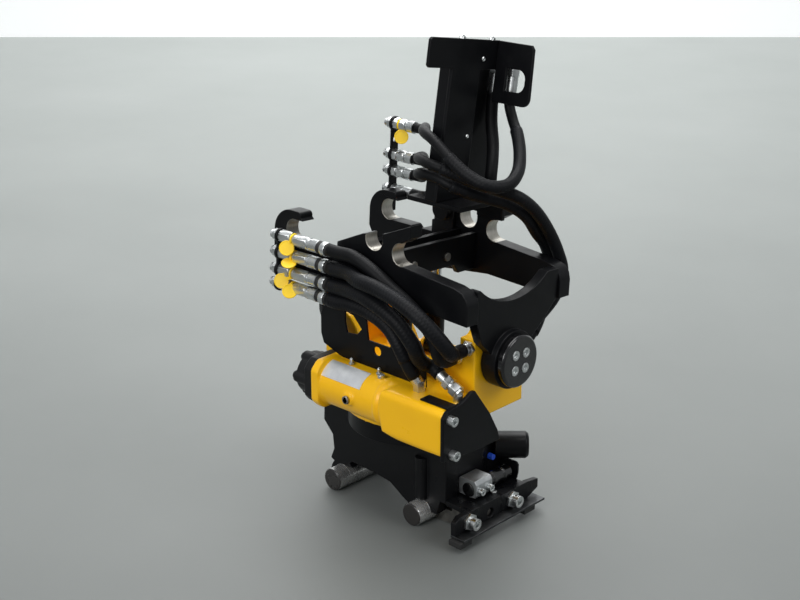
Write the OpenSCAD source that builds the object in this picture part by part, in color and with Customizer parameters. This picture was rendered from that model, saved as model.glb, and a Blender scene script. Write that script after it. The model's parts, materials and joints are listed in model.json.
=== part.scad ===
// Excavator tilt rotator: lower tool hitch, worm driven rotor and tilting top bracket with hoses.
// Millimetres. Origin on the floor under the rotation axis, +X towards the bolted tilt cap, +Z up.

/* [Lower hitch] */
// Diameter of the two tool pins
pin_d = 40; // [36:1:44]
// Length of the tool pins
pin_len = 156; // [140:2:180]
// Distance between the two tool pins
pin_pitch = 186; // [178:1:194]
// Place of the front tool pin along X
front_pin_x = 64; // [60:1:68]
// Thickness of a hitch side plate
hitch_plate_t = 20; // [14:1:24]
// Width over the hitch side plates
hitch_w = 102; // [96:1:108]
// Height of the hitch frame under the turntable
hitch_top_z = 150; // [146:1:152]
// Radius of the turntable disc
turntable_r = 112; // [100:1:116]
// Thickness of the front beam's web
beam_t = 10; // [8:1:12]
// Height of the two rubber feet under the front beam
foot_h = 10; // [8:1:14]
// Diameter of the transverse lock cylinder
lock_cyl_d = 24; // [20:1:26]

/* [Rotor] */
// Outer radius of the rotor drum
drum_r = 118; // [114:1:124]
// Underside of the rotor drum
drum_z = 182; // [178:1:184]
// Top of the rotor drum
drum_top_z = 262; // [258:1:264]
// Distance from the rotation axis to the worm axis
worm_y = 100; // [98:1:104]
// Height of the worm axis
worm_z = 225; // [222:1:227]
// Outer radius of the worm tube
worm_tube_r = 40; // [38:1:42]
// Number of teeth on the worm wheel
wheel_teeth = 36; // [30:1:42]
// Width of the square motor flange
motor_flange_w = 84; // [80:1:84]
// Length of the drive motor outside its flange
motor_len = 46; // [40:1:60]
// Thickness of the sheet guard and shield
sheet_t = 4; // [3:0.5:6]

/* [Tilt joint] */
// Height of the tilt axis
tilt_z = 315; // [313:1:317]
// Lean of the top bracket towards +Y in the rest position
tilt_rest = 3.35; // [0:0.05:8]
// Diameter of the tilt pins
tilt_pin_d = 50; // [40:1:54]
// Wall of the bronze tilt bushes
bush_t = 5; // [3:0.5:7]
// Outer face of the rotor's front tilt ear, from the rotation axis
ear_x = 180; // [176:1:182]
// Outer face of the rotor's rear tilt ear, from the rotation axis
rear_ear_x = 151; // [146:1:154]
// Thickness of the rotor's tilt ears
ear_t = 30; // [24:1:34]
// Thickness of the bracket's end plates
end_plate_t = 18; // [14:1:20]
// Diameter of the tilt caps
cap_d = 86; // [80:1:90]
// Thickness of the tilt caps
cap_t = 13; // [8:1:15]
// Spacing of the four cap bolts
cap_bolt_pitch = 25; // [22:1:27]
// Sideways place of the tilt cylinders
cyl_y = 40; // [39:0.5:41]
// Outer radius of the tilt cylinder barrels
barrel_r = 17; // [16:0.5:18]

/* [Top bracket] */
// Thickness of the hook plates
hook_t = 27; // [22:1:28]
// Clear width between the hook plates
hook_gap = 199; // [195:1:203]
// Sideways offset of the hook plates from the tilt axis
hook_offset = 13.5; // [10:0.5:16]
// Diameter of the three bearing seats in each hook plate
seat_d = 36; // [32:1:37]

/* [Tower and hoses] */
// Lean of the tower towards +Y in the rest position
tower_lean = 9.4; // [7:0.1:11]
// Top of the tower along its own axis
tower_top_z = 790; // [770:1:800]
// Width of the tower's T head
tower_head_w = 168; // [160:1:180]
// Outer diameter of the lower hoses
low_hose_d = 22; // [20:1:24]
// Outer diameter of the upper hoses
up_hose_d = 20; // [18:1:21]

/* [Hidden] */
$fn = 64;
fit = 0.05;          // radial clearance of a pin in its bore
gap = 0.3;           // running gap between faces that move past each other
pin_r = pin_d / 2;
pin_z = pin_r;
rear_pin_x = front_pin_x - pin_pitch;
hitch_in = hitch_w / 2 - hitch_plate_t;
hitch_out = hitch_w / 2;
hitch_front_x = 116;
wall_t = 12;
turntable_top_z = drum_z - gap;
core_r = 40;
cavity_r = 92;
cavity_top_z = drum_top_z - 16;
worm_r = 20;
worm_bore_r = worm_r + 4;
wheel_r = worm_y - worm_r - 1;
wheel_h = 36;
worm_pitch = 13.5;
motor_x = -102;
motor_flange_t = 16;
motor_bolt_r = motor_flange_w / 2 - 13;
motor_r = motor_flange_w / 2 + 4;
flange_corner_r = motor_flange_w / 2 + 7.5;
box_x0 = 55;
box_x1 = 188;
box_y = -worm_y - 45;
box_top_z = worm_z + 40;
box_low_z = worm_z - 40;
shield_x = box_x1;
guard_y = -92;
guard_low_z = drum_top_z + 4;
ear_hw = 60;
bush_r = tilt_pin_d / 2 + bush_t;
end_gap = 2;
boss_r = 47.5;
boss_h = [10, 2];
cyl_x = 5;
cyl_low_z = tilt_z - 45;
cyl_up_z = tilt_z + 118;
eye_w = 24;
lug_t = 8;
link_pin_r = 7;
rod_r = 9;
piston_r = 12.9;
barrel_bore_r = 13;
barrel_bore_z = 22;
barrel_len = 104;
rod_len = 112;
eye_hole_r = 12.3;
eye_r = 18;
eye_off = [2.2, -4];
near_y = hook_offset - hook_gap / 2 - hook_t;
far_y = hook_offset + hook_gap / 2;
seat_r = seat_d / 2;
hook_seat = [-174, 461];
lock_seat = [7, 485];
front_seat = [65, 472];
tower_x = 37;
tower_sheet = 6;
shelf_z = 524;
shelf_t = 8;
bar_t = 6;
near_bar_x = -190;
far_bar_x = -209;
near_bar_y = near_y - 17;
far_bar_y = far_y + hook_t + 13;
near_fit_z = [452, 424, 395, 371];
far_fit_z = [603, 548, 519, 485];
fit_len = [112, 46];
fit_r = 9.5;
port_x = ear_x - ear_t / 2;
port_1 = [ear_x - ear_t - 2, -ear_hw, tilt_z + 7];
port_2 = [port_x + 4, -ear_hw, tilt_z + 26];
far_port_1 = [port_x + 2, ear_hw, 336];
far_port_2 = [port_x - 2, ear_hw, 308];
port_3 = [140, -94, 298];
port_4 = [106, -104, box_top_z + 9];
port_4_lean = [29, 45];
low_end = 14;
end_y = [0, low_end + gap, 0];
lead_y = [0, low_end + 16, 0];
beam_clear = 9;
tower_fit_x = [22, 58];
tower_fit_y = tower_head_w / 2 + 16;
bulkhead_z = tower_top_z - 36;
tower_fit_low = bulkhead_z - 48;

// A point of the level top bracket moved to its rest lean
function leaned(p, a) = [p[0], p[1] * cos(a) + (p[2] - tilt_z) * sin(a),
  tilt_z - p[1] * sin(a) + (p[2] - tilt_z) * cos(a)];
function in_bracket(p) = leaned(p, tilt_rest);
function in_tower(p) = leaned(p, tower_lean);
// Upper pivot of a tilt cylinder at rest, its length and its lean
function cyl_vec(s) = in_bracket([cyl_x, s * cyl_y, cyl_up_z]) - [cyl_x, s * cyl_y, cyl_low_z];
function cyl_len(s) = norm(cyl_vec(s));
function cyl_lean(s) = atan2(cyl_vec(s)[1], cyl_vec(s)[2]);
// Where a hose starts on each bar
function near_hose(i) = in_bracket([near_bar_x + bar_t + fit_len[0], near_bar_y, near_fit_z[i]]);
function far_hose(i) = in_bracket([far_bar_x + bar_t + fit_len[1], far_bar_y, far_fit_z[i]]);

// Where a hose ends under the tower's bulkhead
function tower_fit(i) = [tower_fit_x[i], tower_fit_y, tower_fit_low];

// Hose routes from fitting to fitting, each with a straight lead at its ends
elbow_dir = [0.899, 0, -0.438];
port_4_dir = [-sin(port_4_lean[0]) * cos(port_4_lean[1]), -sin(port_4_lean[0]) * sin(port_4_lean[1]),
  cos(port_4_lean[0])];
shelf_fit = [62, far_y - 15, shelf_z + shelf_t + 18];
wall_fit = [-41, far_y + 18, 503];
lead = [20, 0, 0];
low_routes = [
  concat([near_hose(0), near_hose(0) + lead], [[-20, -123, 461], [20, -122, 448], [60, -121, 428],
    [100, -120, 408], [128, -117, 386], [142, -112, 362], [148, -110, 342], [148, -102, 328]],
    [port_1 - lead_y, port_1 - end_y]),
  concat([near_hose(1), near_hose(1) + lead], [[-24, -128, 434], [6, -140, 433], [30, -144, 433],
    [56, -146, 432], [103, -147, 423], [146, -143, 402], [170, -132, 376], [177, -118, 355], [173, -104, 344]], [port_2 - lead_y, port_2 - end_y]),
  concat([near_hose(2), near_hose(2) + lead], [[-27, -130, 406], [6, -136, 408], [40, -140, 404],
    [90, -138, 383], [116, -130, 350], [115, -117, 326], [117, -104, 312]], [port_3 - 19 * elbow_dir, port_3 - gap * elbow_dir]),
  concat([near_hose(3), near_hose(3) + lead], [[-24, -124, 381], [17, -121, 376], [56, -120, 360],
    [78, -121, 338], [88, -119, 320]], [port_4 + 34 * port_4_dir, port_4 + (16 + gap) * port_4_dir])
];
up_routes = [
  concat([far_hose(0), far_hose(0) + lead], [[-112, 146, 603], [-76, 106, 618], [-40, 66, 631], [4, 16, 640],
    [36, 1, 636], [62, -5, 624], [88, -7, 608], [116, -4, 592], [144, 8, 580], [154, 42, 577], [143, 80, 588],
    [122, 110, 608], [97, 134, 630], [72, 152, 648]],
    [in_tower(tower_fit(1) - [0, 0, 16]), in_tower(tower_fit(1))]),
  concat([far_hose(1), far_hose(1) + lead], [[-112, 142, 553], [-76, 102, 568], [-40, 60, 584], [0, 8, 598],
    [36, -10, 600], [62, -8, 596], [84, 6, 586], [104, 30, 572], [128, 56, 560], [150, 74, 550],
    [159, 102, 527], [163, 136, 486], [167, 160, 442], [170, 169, 408], [170, 154, 374], [167, 124, 349]],
    [far_port_1 + lead_y, far_port_1 + end_y]),
  concat([far_hose(2), far_hose(2) + lead], [[-112, 142, 524], [-76, 106, 540], [-40, 66, 556], [-6, 13, 571],
    [12, 3, 575], [44, 1, 576], [70, 6, 567], [90, 30, 553], [104, 58, 542], [124, 80, 532], [140, 106, 511],
    [143, 134, 476], [144, 156, 451], [146, 168, 412], [149, 153, 364], [156, 124, 326]],
    [far_port_2 + lead_y, far_port_2 + end_y]),
  concat([far_hose(3), far_hose(3) + lead], [[-100, 166, 481], [-68, 169, 489], [-49, 165, 493]],
    [in_bracket(wall_fit + [0, 14, 0]), in_bracket(wall_fit)])
];
tower_route = [in_tower(tower_fit(0)), in_tower(tower_fit(0) - [0, 0, 16]), [26, 154, 638], [42, 140, 604],
  [57, 121, 578], in_bracket(shelf_fit + [0, 0, 16]), in_bracket(shelf_fit)];

// Plate in the XZ plane from y to y + t, drawn as [x, z]
module xz_plate(y, t) translate([0, y + t, 0]) rotate([90, 0, 0]) linear_extrude(t) children();
// Plate in the YZ plane from x to x + t, drawn as [y, z]
module yz_plate(x, t) translate([x, 0, 0]) rotate([90, 0, 90]) linear_extrude(t) children();
// Cylinder along X or Y that starts at p
module x_rod(p, r, l) translate(p) rotate([0, 90, 0]) cylinder(r = r, h = l);
module y_rod(p, r, l) translate(p) rotate([-90, 0, 0]) cylinder(r = r, h = l);
// Box between two corners
module box(a, b) translate(a) cube(b - a);
// Children turned about the tilt axis
module lean(a) translate([0, 0, tilt_z]) rotate([-a, 0, 0]) translate([0, 0, -tilt_z]) children();
// Front end and mirrored rear end, with the outer face of that end's tilt ear
module both_ends() {
  let ($ear = ear_x, $boss = boss_h[0]) children();
  mirror([1, 0, 0]) let ($ear = rear_ear_x, $boss = boss_h[1]) children();
}
module both_sides() for (m = [0, 1]) mirror([0, m, 0]) children();
// Socket head screw along +X with its hex socket
module socket_head(r, h) {
  difference() {
    cylinder(r = r, h = h);
    translate([0, 0, h * 0.45]) cylinder(r = r * 0.56, h = h, $fn = 6);
  }
}

// Frames carried along a route for a round sweep
function unit(v) = v / norm(v);
function heading(p, i) = unit(p[min(i + 1, len(p) - 1)] - p[max(i - 1, 0)]);
function side_at(p, i) = i == 0 ? unit(cross(heading(p, 0), [0.3, 0.5, 0.8]))
  : let (t = heading(p, i), u = side_at(p, i - 1)) unit(u - (u * t) * t);
function ring_at(p, i, r, n) = let (t = heading(p, i), u = side_at(p, i), v = cross(t, u))
  [for (k = [0 : n - 1]) p[i] + r * (cos(360 * k / n) * u + sin(360 * k / n) * v)];
module hose(p, d) {
  n = 10;
  last = len(p) - 1;
  points = [for (i = [0 : last]) each ring_at(p, i, d / 2, n)];
  walls = [for (i = [0 : last - 1], k = [0 : n - 1])
    [i * n + k, (i + 1) * n + k, (i + 1) * n + (k + 1) % n, i * n + (k + 1) % n]];
  polyhedron(points, concat([[for (k = [0 : n - 1]) k]], walls, [[for (k = [0 : n - 1]) last * n + n - 1 - k]]));
}

// Lower hitch
module hitch_profile() {
  difference() {
    union() {
      polygon([[-166, hitch_top_z], [-168, 112], [-147, 90], [-144, 64], [-152, 44], [rear_pin_x, 30],
        [rear_pin_x + 22, 52], [-45, 50], [-9, 45], [26, 24], [front_pin_x, 6], [front_pin_x + 33, 24],
        [108, 60], [hitch_front_x, 110], [hitch_front_x, hitch_top_z]]);
      intersection() {
        union() {
          translate([rear_pin_x, pin_z]) circle(r = pin_r + 10);
          translate([front_pin_x, pin_z]) circle(r = pin_r + 13);
        }
        translate([-200, 3]) square([400, 100]);
      }
    }
    translate([rear_pin_x, pin_z]) circle(r = pin_r + fit);
    translate([front_pin_x, pin_z]) circle(r = pin_r + fit);
    translate([rear_pin_x, 0]) square([30, pin_z]);
    translate([rear_pin_x, pin_z - 1]) square([40, pin_r + 1 + fit]);
    translate([front_pin_x, 0]) square([60, pin_z + 2]);
  }
}
module hitch_frame() color("#141517") {
  both_sides() xz_plate(hitch_in, hitch_plate_t) hitch_profile();
  box([-150, -hitch_in, hitch_top_z - wall_t], [hitch_front_x, hitch_in, hitch_top_z]);
  box([-140, -hitch_in, 70], [-140 + wall_t, hitch_in, hitch_top_z]);
  box([hitch_front_x - wall_t, -hitch_out, 48], [hitch_front_x, hitch_out, hitch_top_z]);
  both_sides() translate([64, hitch_out, 44]) cylinder(r = wall_t, h = 74);
}
module turntable() color("#141517") difference() {
  translate([0, 0, hitch_top_z]) cylinder(r = turntable_r, h = turntable_top_z - hitch_top_z);
  translate([0, 0, hitch_top_z - 1]) cylinder(r = core_r + fit, h = 50);
}
module swivel_core() color("#8d9298")
  translate([0, 0, hitch_top_z]) cylinder(r = core_r, h = cavity_top_z - gap - hitch_top_z);
module worm_wheel() color("#b08d57") {
  tooth = 360 / wheel_teeth;
  depth = 5;
  translate([0, 0, worm_z - wheel_h / 2]) linear_extrude(wheel_h) difference() {
    polygon([for (i = [0 : wheel_teeth - 1], q = [[0, 0], [0.22, 0], [0.38, 1], [0.62, 1], [0.78, 0]])
      (wheel_r - depth * (1 - q[1])) * [cos((i + q[0]) * tooth), sin((i + q[0]) * tooth)]]);
    circle(r = core_r + fit);
  }
  difference() {
    translate([0, 0, turntable_top_z]) cylinder(r = core_r + 22, h = worm_z - wheel_h / 2 - turntable_top_z);
    cylinder(r = core_r + fit, h = 400);
  }
}
module tool_pin(x) color("#9a9a98") {
  chamfer = 2;
  free_r = pin_r - 0.2;
  y_rod([x, -hitch_out - 0.4, pin_z], pin_r, hitch_w + 0.8);
  translate([x, -pin_len / 2, pin_z]) rotate([-90, 0, 0]) {
    cylinder(r1 = free_r - chamfer, r2 = free_r, h = chamfer);
    translate([0, 0, chamfer]) cylinder(r = free_r, h = pin_len - 2 * chamfer);
    translate([0, 0, pin_len - chamfer]) cylinder(r1 = free_r, r2 = free_r - chamfer, h = chamfer);
  }
}
module front_tool_pin() tool_pin(front_pin_x);
module rear_tool_pin() tool_pin(rear_pin_x);
wedge_low_z = 2;
wedge_top_z = 26;
wedge_ramp = front_pin_x - pin_z + (pin_r + gap) * sqrt(2);
wedge_back_x = 128;
indicator_z = 33;
module lock_wedge() color("#6f7378") {
  xz_plate(-hitch_in + gap, 2 * (hitch_in - gap)) polygon([[wedge_ramp + wedge_low_z, wedge_low_z],
    [wedge_back_x, wedge_low_z], [wedge_back_x, indicator_z + 7], [wedge_back_x - 14, indicator_z + 7],
    [wedge_back_x - 16, wedge_top_z], [wedge_ramp + wedge_top_z, wedge_top_z]]);
  x_rod([wedge_back_x - 1, 0, indicator_z], 6, 38);
}
lock_cyl_at = [hitch_front_x + 21, 0, 70];
lock_cyl_r = lock_cyl_d / 2;
clamp_x = lock_cyl_at[0] + 17;
module lock_cylinder() color("#0c0d0e") {
  y_rod(lock_cyl_at + [0, -20, 0], lock_cyl_r, 100);
  y_rod(lock_cyl_at + [0, 79, 0], lock_cyl_r - 4, 8);
  y_rod(lock_cyl_at + [0, 34, 0], lock_cyl_r + 2, 8);
  y_rod(lock_cyl_at + [0, 60, 0], lock_cyl_r + 2, 5);
}
module clamp_block() color("#a9adaf") difference() {
  intersection() {
    box([hitch_front_x, -18, 58], [clamp_x, 22, 88]);
    y_rod(lock_cyl_at + [-3, -40, 2], 22, 80);
  }
  y_rod(lock_cyl_at + [0, -40, 0], lock_cyl_r + fit, 80);
}
module clamp_bolts() color("#c9ccce") {
  for (y = [-9, 13]) translate([clamp_x, y, 70]) rotate([0, 90, 0]) socket_head(6, 8);
  translate([hitch_front_x + 38, 26, beam_top_z]) cylinder(r = 6, h = 3.5, $fn = 6);
}
coupling_at = [hitch_front_x - 8, hitch_out + 24, 110];
module coupling_cap() color("#17181a") {
  box([hitch_front_x - 26, hitch_out, 92], [hitch_front_x, hitch_out + 26, 128]);
  translate(coupling_at) rotate([90, 0, 133]) {
    translate([0, 0, 4]) cylinder(r = 23, h = 52);
    translate([0, 0, 56]) cylinder(r1 = 23, r2 = 19, h = 5);
  }
}
module port_plug() color("#1f4fd0") translate([hitch_front_x, hitch_out + 7, 98]) rotate([0, 90, 0]) {
  cylinder(r = 6, h = 4, $fn = 6);
  translate([0, 0, 4]) cylinder(r = 5, h = 6);
}
beam_x = 160;
lip_z = beam_clear + foot_h;
beam_low_z = lip_z + 4;
beam_top_z = 54;
module front_beam() color("#17191b") difference() {
  union() {
    yz_plate(beam_x, beam_t) polygon([[-88, beam_low_z], [96, beam_low_z], [124, 34], [124, 50],
      [96, beam_top_z], [-76, beam_top_z], [-88, 46]]);
    xz_plate(-hitch_out, hitch_out + 92) polygon([[hitch_front_x, beam_top_z], [hitch_front_x, beam_top_z - 8],
      [beam_x, beam_top_z - 10], [beam_x + 1, beam_top_z - 10], [beam_x + 1, beam_top_z]]);
  }
  x_rod([beam_x - 1, 0, indicator_z], 8, beam_t + 2);
}
module beam_lip() color("#a3a7a8")
  box([beam_x, -88, lip_z], [beam_x + 30, 118, beam_low_z]);
module beam_feet() color("#101010")
  both_sides() box([beam_x + 2, 67, beam_clear], [beam_x + 28, 95, lip_z]);
module beam_bolts() color("#c4c7c8") for (y = [-54, 54]) translate([beam_x + beam_t, y, 38]) rotate([0, 90, 0]) {
  cylinder(r = 15, h = 5, $fn = 6);
  translate([0, 0, 5]) socket_head(10, 13);
}

// Rotor
module worm_box() {
  round_r = 12;
  y0 = box_y + round_r;
  intersection() {
    xz_plate(box_y, 85) polygon([[box_x0 + 2, box_top_z - 4], [box_x0 + 14, box_top_z], [box_x1, box_top_z],
      [box_x1, box_low_z + 4], [box_x0 + 42, box_low_z], [box_x0 + 6, box_low_z + 9], [box_x0 - 3, worm_z + 6]]);
    union() {
      box([0, y0, 0], [box_x1, box_y + 85, 400]);
      box([0, box_y, box_low_z + round_r], [box_x1, y0 + 1, box_top_z - round_r]);
      x_rod([0, y0, box_top_z - round_r], round_r, box_x1);
      x_rod([0, y0, box_low_z + round_r], round_r, box_x1);
    }
  }
}
nose_z = worm_z - 5;
module rotor_housing() color("#f2b01e") difference() {
  union() {
    rotate_extrude() polygon([[0, drum_z], [drum_r, drum_z], [drum_r, drum_top_z - 32],
      [drum_r - 12, drum_top_z - 12], [60, drum_top_z], [0, drum_top_z]]);
    x_rod([motor_x + 2, -worm_y, worm_z], worm_tube_r, box_x0 - motor_x + 20);
    x_rod([box_x0 - 16, -worm_y, worm_z], worm_tube_r + 3, 6);
    intersection() {
      translate([motor_x, -worm_y - motor_flange_w / 2, worm_z - motor_flange_w / 2])
        cube([motor_flange_t, motor_flange_w, motor_flange_w]);
      x_rod([motor_x, -worm_y, worm_z], flange_corner_r, motor_flange_t);
    }
    worm_box();
    both_ends() {
      translate([0, 0, nose_z]) linear_extrude(drum_top_z - 12 - nose_z)
        polygon([[60, -94], [$ear, -ear_hw], [$ear, ear_hw], [60, 94]]);
      x_rod([$ear - ear_t, 0, tilt_z], ear_hw, ear_t);
      box([$ear - ear_t, -ear_hw, nose_z], [$ear, ear_hw, tilt_z]);
      both_sides() {
        xz_plate(ear_hw - 15, 15) polygon([[40, drum_top_z - 6], [$ear - ear_t, drum_top_z - 6],
          [$ear - ear_t, tilt_z + 26], [$ear - ear_t - 30, tilt_z + 10], [$ear - ear_t - 62, tilt_z - 26],
          [50, tilt_z - 40]]);
        box([$ear - ear_t, ear_hw - 20, tilt_z - 10], [$ear, ear_hw, tilt_z + 40]);
      }
    }
    both_sides() for (x = [cyl_x - eye_w / 2 - gap - lug_t, cyl_x + eye_w / 2 + gap]) {
      x_rod([x, cyl_y, cyl_low_z], 15, lug_t);
      box([x, cyl_y - 15, drum_top_z - 14], [x + lug_t, cyl_y + 15, cyl_low_z]);
    }
    box([-60, guard_y - 2, worm_z], [box_x0 + 40, -60, guard_low_z]);
    translate([breather[0], breather[1], worm_z]) cylinder(r = 8, h = breather[2] - worm_z);
    translate([-16, -worm_y, worm_z]) rotate([90, 0, 0]) cylinder(r = 11, h = worm_tube_r + 4);
  }
  translate([0, 0, drum_z - 1]) cylinder(r = cavity_r, h = cavity_top_z - drum_z + 1);
  x_rod([motor_x - 1, -worm_y, worm_z], worm_bore_r, 246);
  x_rod([motor_x - 60, -worm_y, worm_z], motor_r + gap, 60);
  box([box_x0 - 17, guard_y - 2, guard_low_z], [box_x0 - 9, -60, guard_low_z + 10]);
  both_ends() x_rod([$ear - ear_t - 1, 0, tilt_z], bush_r + fit, ear_t + 2);
  both_sides() x_rod([cyl_x - 40, cyl_y, cyl_low_z], link_pin_r + fit, 80);
  both_sides() box([cyl_x - eye_w / 2 - gap, cyl_y - 20, drum_top_z - 13],
    [cyl_x + eye_w / 2 + gap, cyl_y + 26, 300]);
}
module tilt_bushes() color("#b08d57") both_ends() difference() {
  x_rod([$ear - ear_t, 0, tilt_z], bush_r, ear_t);
  x_rod([$ear - ear_t - 1, 0, tilt_z], tilt_pin_d / 2 + fit, ear_t + 2);
}
module drive_motor() color("#1b1c1e") {
  block = motor_flange_w / 2 - 2;
  intersection() {
    translate([motor_x - 18, -worm_y - block, worm_z - block]) cube([18, 2 * block, 2 * block]);
    x_rod([motor_x - 18, -worm_y, worm_z], motor_r, 18);
  }
  x_rod([motor_x - motor_len + 4, -worm_y, worm_z], motor_bolt_r + 7, motor_len - 6);
  translate([motor_x - 17, -worm_y, worm_z]) rotate([0, -90, 0]) for (i = [0 : 4]) rotate(72 * i + 54)
    translate([motor_bolt_r, 0, 0]) cylinder(r = 11, h = motor_len - 17);
}
module motor_bolts() color("#2a2b2d") translate([motor_x - motor_len, -worm_y, worm_z]) rotate([0, -90, 0])
  for (i = [0 : 4]) rotate(72 * i + 54) translate([motor_bolt_r, 0, 0]) socket_head(7, 5);
module front_shield() color("#131416") {
  yz_plate(shield_x, sheet_t + 3) polygon([[-147, 184], [-147, 256], [-138, 266], [-104, 270], [-82, 281],
    [-74, 281], [-38, 233], [-17, 196], [-12, 178], [-60, 178], [-110, 182]]);
  box([132, -132, box_top_z], [shield_x, -110, box_top_z + 3]);
}
module shield_bolts() color("#c9ccce") for (p = [[-134, 252], [-128, 192]])
  translate([shield_x + sheet_t + 3, p[0], p[1]]) rotate([0, 90, 0]) socket_head(8, 12);
module side_guard() color("#131416") difference() {
  union() {
    xz_plate(guard_y, sheet_t) polygon([[-80, guard_low_z], [-104, 274], [-122, 280], [-128, 296], [-128, 330],
      [-121, 350], [-106, 357], [-30, 357], [-22, 344], [-18, 312], [30, 312], [36, 334], [60, 344], [94, 340],
      [106, 318], [108, guard_low_z]]);
    box([-60, guard_y, guard_low_z], [90, guard_y + 22, guard_low_z + 3]);
  }
  xz_plate(guard_y - 1, sheet_t + 2)
    polygon([[-71, 330], [-70, 349], [-52, 346], [-33, 327], [-44, 315], [-66, 312]]);
  y_rod([2, guard_y - 1, 298], 8, sheet_t + 2);
}
module nipple(p) translate(p) {
  cylinder(r = 5, h = 4, $fn = 6);
  translate([0, 0, 4]) cylinder(r = 3, h = 5);
  translate([0, 0, 9]) sphere(r = 3.4);
}
module grease_nipples() color("#c9ccce") {
  for (x = [-46, 16]) nipple([x, -worm_y - 2, worm_z + worm_tube_r]);
  translate([breather[0], breather[1], breather[2]]) cylinder(r = 6, h = 5);
}
module worm_plug() color("#3a3c40") translate([-16, -worm_y - worm_tube_r - 4, worm_z]) rotate([90, 0, 0])
  socket_head(7, 5);
breather = [30, -worm_y - 12, worm_z + worm_tube_r + 2];
plate_x0 = -84;
plate_x1 = 4;
plate_a = [101, 125, 150];
module data_plate() color("#b9bcbe") difference() {
  intersection() {
    x_rod([plate_x0, -worm_y, worm_z], worm_tube_r + 0.9, plate_x1 - plate_x0);
    yz_plate(plate_x0, plate_x1 - plate_x0) translate([-worm_y, worm_z])
      polygon(concat([[0, 0]], [for (a = plate_a) 60 * [cos(a), sin(a)]]));
  }
  x_rod([plate_x0 - 1, -worm_y, worm_z], worm_tube_r + fit, plate_x1 - plate_x0 + 2);
}
module hose_ports() color("#b4b8ba") {
  for (p = [port_1, port_2]) {
    translate(p) rotate([90, 0, 0]) cylinder(r = 12.5, h = 6, $fn = 6);
    y_rod(p + [0, -low_end, 0], 10.5, low_end - 6);
  }
  for (p = [far_port_1, far_port_2]) {
    translate(p) rotate([-90, 0, 0]) cylinder(r = 12, h = 6, $fn = 6);
    y_rod(p + [0, 6, 0], 9.5, low_end - 6);
  }
  translate([port_4[0], port_4[1], box_top_z]) cylinder(r = 10.5, h = 17, $fn = 6);
  translate(port_4) rotate([0, -port_4_lean[0], port_4_lean[1]]) cylinder(r = 9.5, h = 16);
  translate(port_3) rotate([0, 116, 0]) {
    cylinder(r = 9.5, h = 16);
    translate([0, 0, 14]) cylinder(r = 12, h = 11, $fn = 6);
    translate([0, 0, 25]) cylinder(r = 9, h = 5);
    translate([0, 0, 30]) cylinder(r = 12, h = 12, $fn = 6);
    translate([0, 0, 42]) cylinder(r = 8, h = 4);
  }
  translate([port_3[0] + 37, port_3[1], box_top_z]) cylinder(r = 8, h = 12);
}
module lower_cylinder_pins() color("#8d9298")
  both_sides() x_rod([cyl_x - eye_w / 2 - lug_t - 3, cyl_y, cyl_low_z], link_pin_r, eye_w + 2 * lug_t + 6);
module worm_shaft() color("#8d9298") {
  turns = 8;
  core = worm_r - 3;
  translate([-turns * worm_pitch / 2, -worm_y, worm_z]) rotate([0, 90, 0])
    linear_extrude(turns * worm_pitch, twist = -360 * turns, slices = turns * 8)
      translate([3, 0]) circle(r = core, $fn = 16);
  x_rod([motor_x + 4, -worm_y, worm_z], core - 5, -turns * worm_pitch / 2 - motor_x - 4);
  x_rod([turns * worm_pitch / 2, -worm_y, worm_z], core - 5, 60);
  for (x = [motor_x + 5, turns * worm_pitch / 2 + 44]) x_rod([x, -worm_y, worm_z], worm_bore_r - fit, 14);
}

// Tilt cylinders
module cyl_frame(s) translate([cyl_x, s * cyl_y, cyl_low_z]) rotate([-cyl_lean(s), 0, 0]) children();
module tilt_barrel(s) color("#17181a") cyl_frame(s) difference() {
  union() {
    x_rod([-eye_w / 2, 0, 0], 13, eye_w);
    translate([0, 0, 4]) cylinder(r = 10, h = barrel_bore_z - 6);
    translate([0, 0, barrel_bore_z - 4]) cylinder(r = barrel_r, h = barrel_len - barrel_bore_z + 4);
  }
  x_rod([-eye_w, 0, 0], link_pin_r + fit, 2 * eye_w);
  translate([0, 0, barrel_bore_z]) cylinder(r = barrel_bore_r, h = barrel_len - barrel_bore_z - 8);
  cylinder(r = rod_r + fit, h = 200);
}
module barrel_near() tilt_barrel(-1);
module barrel_far() tilt_barrel(1);
module piston_rod(s) color("#d5d8da") cyl_frame(s) translate([0, 0, cyl_len(s)]) difference() {
  union() {
    translate([0, 0, -rod_len]) cylinder(r = piston_r, h = 12);
    translate([0, 0, -rod_len + 1]) cylinder(r = rod_r, h = rod_len - eye_r - 1);
    x_rod([-eye_w / 2, s * eye_off[0], eye_off[1]], eye_r, eye_w);
  }
  x_rod([-eye_w, s * eye_off[0], eye_off[1]], eye_hole_r, 2 * eye_w);
}
module piston_rod_near() piston_rod(-1);
module piston_rod_far() piston_rod(1);

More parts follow.
